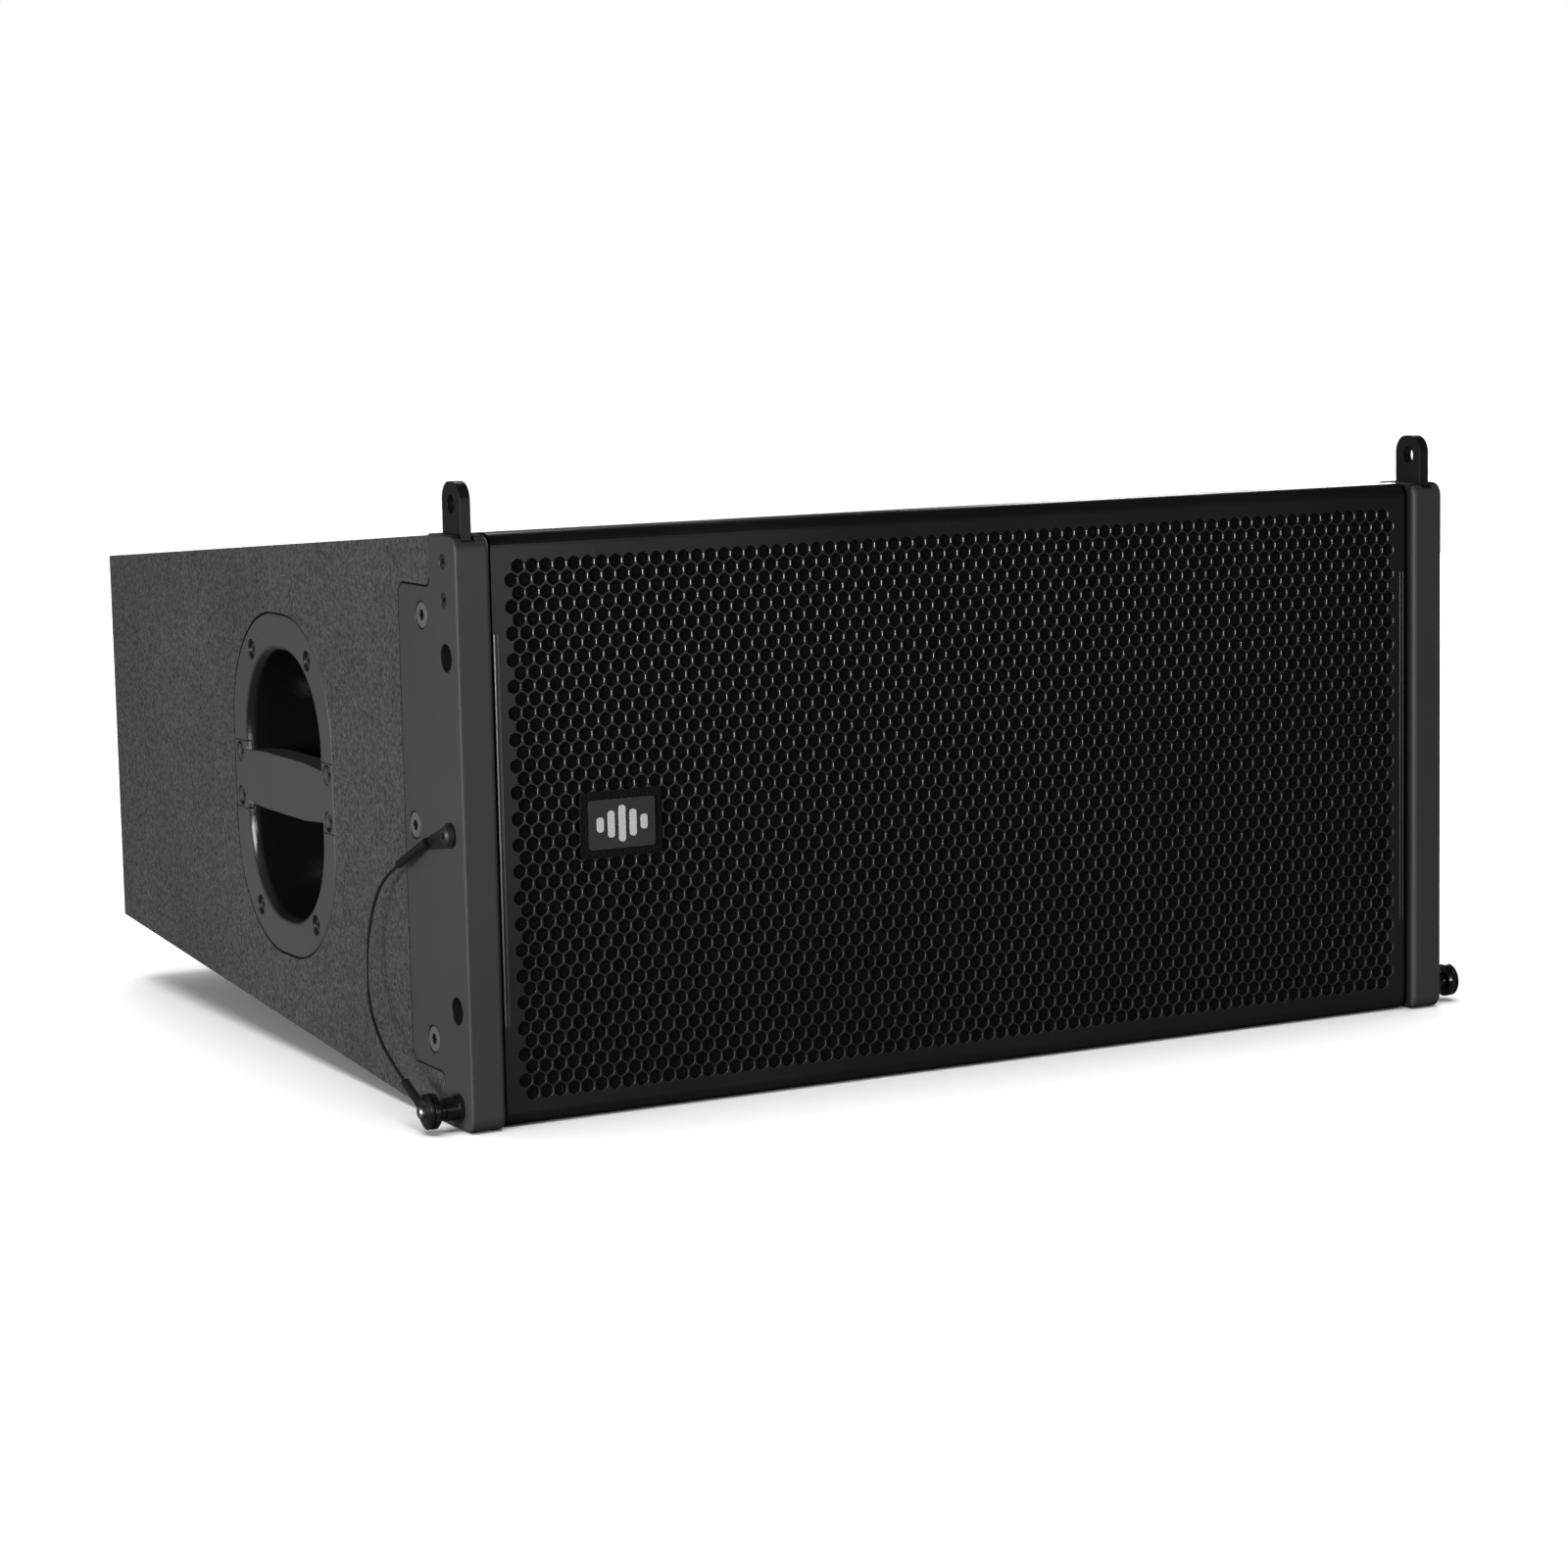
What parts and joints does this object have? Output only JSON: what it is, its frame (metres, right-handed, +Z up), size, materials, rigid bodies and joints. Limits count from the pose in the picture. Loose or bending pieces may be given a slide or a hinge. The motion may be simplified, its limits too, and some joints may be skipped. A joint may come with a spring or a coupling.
{
  "type": "line array speaker",
  "caption": "Wedge-shaped line array loudspeaker with a perforated grille, side grip handles, front rigging rails with lugs and quick-release pins, and a hinged rear splay link.",
  "frame": {"origin": "bottom centre of the whole speaker's box", "axes": "+X to the right seen from the front, +Y to the rear, +Z up"},
  "size_m": [0.59, 0.515, 0.2969],
  "materials": {
    "cabinet_paint": "fine textured dark grey paint on birch plywood",
    "inner_wood": "birch plywood, painted black towards the grille",
    "rig_steel": "satin powder-coated steel",
    "black_screw": "black oxide",
    "grille_steel": "satin powder-coated perforated steel",
    "acoustic_foam": "open-cell black foam",
    "badge_metal": "satin dark grey",
    "badge_white": "satin white print",
    "handle_plastic": "satin flange and grip, glossy black cup",
    "basket_aluminium": "black painted casting",
    "magnet_iron": "zinc plate and bare ferrite",
    "cone_paper": "pressed pulp, matte",
    "edge_rubber": "matte",
    "spider_cloth": "resin-treated cloth",
    "coil_copper": "enamelled copper wire",
    "waveguide_plastic": "moulded black",
    "driver_metal": "black painted",
    "board_green": "solder resist",
    "capacitor_film": "wrapped film",
    "damping_felt": "loose felt",
    "input_metal": "fine textured black",
    "connector_plastic": "glass-filled plastic",
    "pin_black": "glossy black",
    "button_steel": "plain steel",
    "lanyard_steel": "black coated wire and crimps"
  },
  "bodies": {
    "cabinet": {"panel_top": "cabinet_paint", "panel_bottom": "cabinet_paint", "panel_left": "cabinet_paint", "panel_right": "cabinet_paint", "panel_rear": "cabinet_paint", "baffle": "inner_wood", "braces": "inner_wood", "rig_frame_left": "rig_steel", "rig_frame_right": "rig_steel", "lug_left": "rig_steel", "lug_right": "rig_steel", "rear_bracket": "rig_steel", "rig_frame_screws": "black_screw", "lug_screws": "black_screw", "handle_screws": "black_screw", "woofer_screws": "black_screw", "waveguide_screws": "black_screw", "driver_bolts": "black_screw", "input_screws": "black_screw", "bracket_screws": "black_screw", "lanyard_screws": "black_screw", "pivot_bolt": "black_screw", "grille": "grille_steel", "grille_foam": "acoustic_foam", "badge_plate": "badge_metal", "badge_emblem": "badge_white", "handle_left": "handle_plastic", "handle_right": "handle_plastic", "grip_left": "handle_plastic", "grip_right": "handle_plastic", "woofer_basket_left": "basket_aluminium", "woofer_basket_right": "basket_aluminium", "magnet_left": "magnet_iron", "magnet_right": "magnet_iron", "woofer_surround_left": "edge_rubber", "woofer_surround_right": "edge_rubber", "spider_left": "spider_cloth", "spider_right": "spider_cloth", "crossover_coils": "coil_copper", "waveguide": "waveguide_plastic", "compression_driver": "driver_metal", "crossover_board": "board_green", "crossover_capacitors": "capacitor_film", "damping": "damping_felt", "input_plate": "input_metal", "connectors": "connector_plastic", "lanyard_tab": "lanyard_steel", "lanyard_wire": "lanyard_steel"},
    "left_pin": {"pin_left": "pin_black", "lanyard_loop": "lanyard_steel"},
    "left_pin_button": {"pin_button_left": "button_steel"},
    "right_pin": {"pin_right": "pin_black"},
    "right_pin_button": {"pin_button_right": "button_steel"},
    "rear_pin_body": {"rear_pin": "pin_black"},
    "rear_pin_push": {"rear_pin_button": "button_steel"},
    "splay_link": {"rear_link": "rig_steel"},
    "left_cone": {"woofer_cone_left": "cone_paper", "voice_coil_left": "coil_copper"},
    "right_cone": {"woofer_cone_right": "cone_paper", "voice_coil_right": "coil_copper"}
  },
  "joints": [
    {"name": "left_pin_slide", "type": "slide", "parent": "cabinet", "child": "left_pin", "axis": [-1, 0, 0], "range_m": [0, 0.03], "deforming": ["lanyard_wire"]},
    {"name": "left_button_press", "type": "slide", "parent": "left_pin", "child": "left_pin_button", "axis": [1, 0, 0], "range_m": [0, 0.002], "stiffness_N_per_m": 400, "springref_m": -0.0015},
    {"name": "right_pin_slide", "type": "slide", "parent": "cabinet", "child": "right_pin", "axis": [1, 0, 0], "range_m": [0, 0.03]},
    {"name": "right_button_press", "type": "slide", "parent": "right_pin", "child": "right_pin_button", "axis": [-1, 0, 0], "range_m": [0, 0.002], "stiffness_N_per_m": 400, "springref_m": -0.0015},
    {"name": "splay_link_swing", "type": "hinge", "parent": "cabinet", "child": "splay_link", "pos_m": [0, 0.2445, 0.2125], "axis": [1, 0, 0], "range_deg": [0, 180]},
    {"name": "rear_pin_slide", "type": "slide", "parent": "cabinet", "child": "rear_pin_body", "axis": [1, 0, 0], "range_m": [0, 0.03]},
    {"name": "rear_button_press", "type": "slide", "parent": "rear_pin_body", "child": "rear_pin_push", "axis": [-1, 0, 0], "range_m": [0, 0.002], "stiffness_N_per_m": 400, "springref_m": -0.0015},
    {"name": "left_cone_excursion", "type": "slide", "parent": "cabinet", "child": "left_cone", "axis": [0, -1, 0], "range_m": [-0.005, 0.005], "stiffness_N_per_m": 2500, "deforming": ["woofer_surround_left", "spider_left"]},
    {"name": "right_cone_excursion", "type": "slide", "parent": "cabinet", "child": "right_cone", "axis": [0, -1, 0], "range_m": [-0.005, 0.005], "stiffness_N_per_m": 2500, "deforming": ["woofer_surround_right", "spider_right"]}
  ]
}
